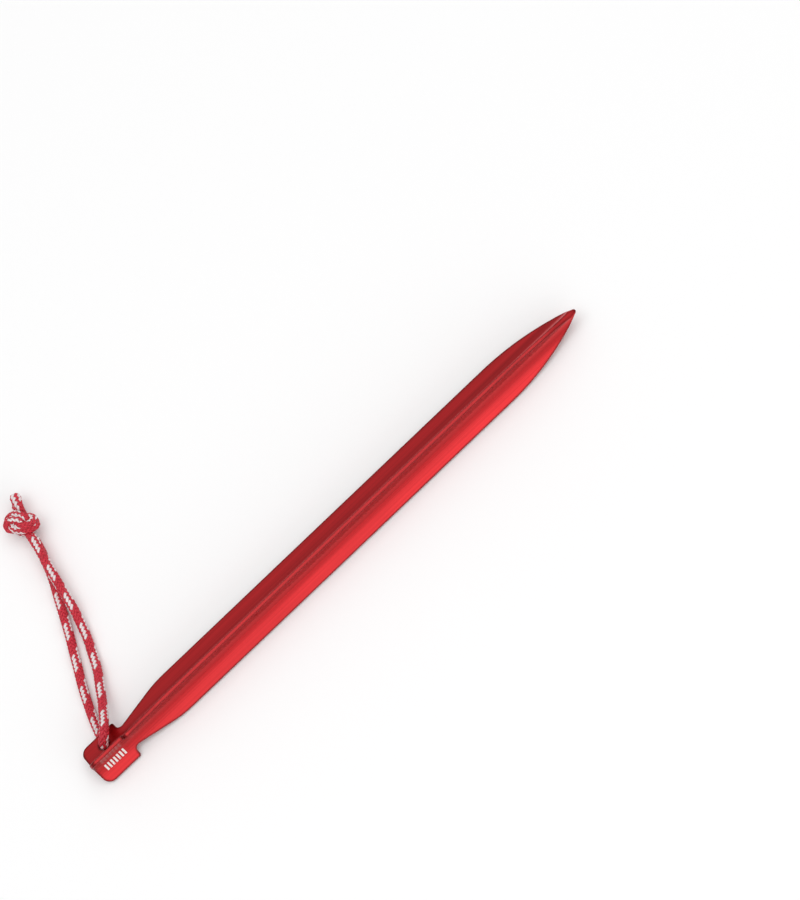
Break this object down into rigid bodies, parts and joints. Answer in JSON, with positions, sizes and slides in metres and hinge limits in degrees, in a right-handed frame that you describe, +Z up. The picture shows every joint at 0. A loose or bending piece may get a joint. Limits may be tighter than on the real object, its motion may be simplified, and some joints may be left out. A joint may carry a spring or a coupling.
{
  "type": "tent stake",
  "caption": "Three-fin aluminium tent stake with a notched head, a tapered point and a knotted loop of braided cord through one fin.",
  "frame": {"origin": "on the ground, under the middle of the stake's own bounding box", "axes": "+X along the stake from its head to its point; +Y towards the fin with the hole and the cord loop; +Z up from the ground that the stake lies on"},
  "size_m": [0.19, 0.0868, 0.0122],
  "materials": {
    "anodised_aluminium": "red anodised, satin, with fine extrusion lines along its length",
    "braided_cord": "round braid, red strands with runs of white fleck"
  },
  "bodies": {
    "stake": {"stake_body": "anodised_aluminium"},
    "pull_loop": {"cord_leg_over": "braided_cord", "cord_leg_under": "braided_cord", "cord_knot": "braided_cord", "cord_tail_over": "braided_cord", "cord_tail_under": "braided_cord"}
  },
  "joints": [
    {"name": "loop_swing", "type": "hinge", "parent": "stake", "child": "pull_loop", "pos_m": [-0.088, 0.00231, 0.00447], "axis": [0, 0, 1], "range_deg": [-20, 114]}
  ]
}
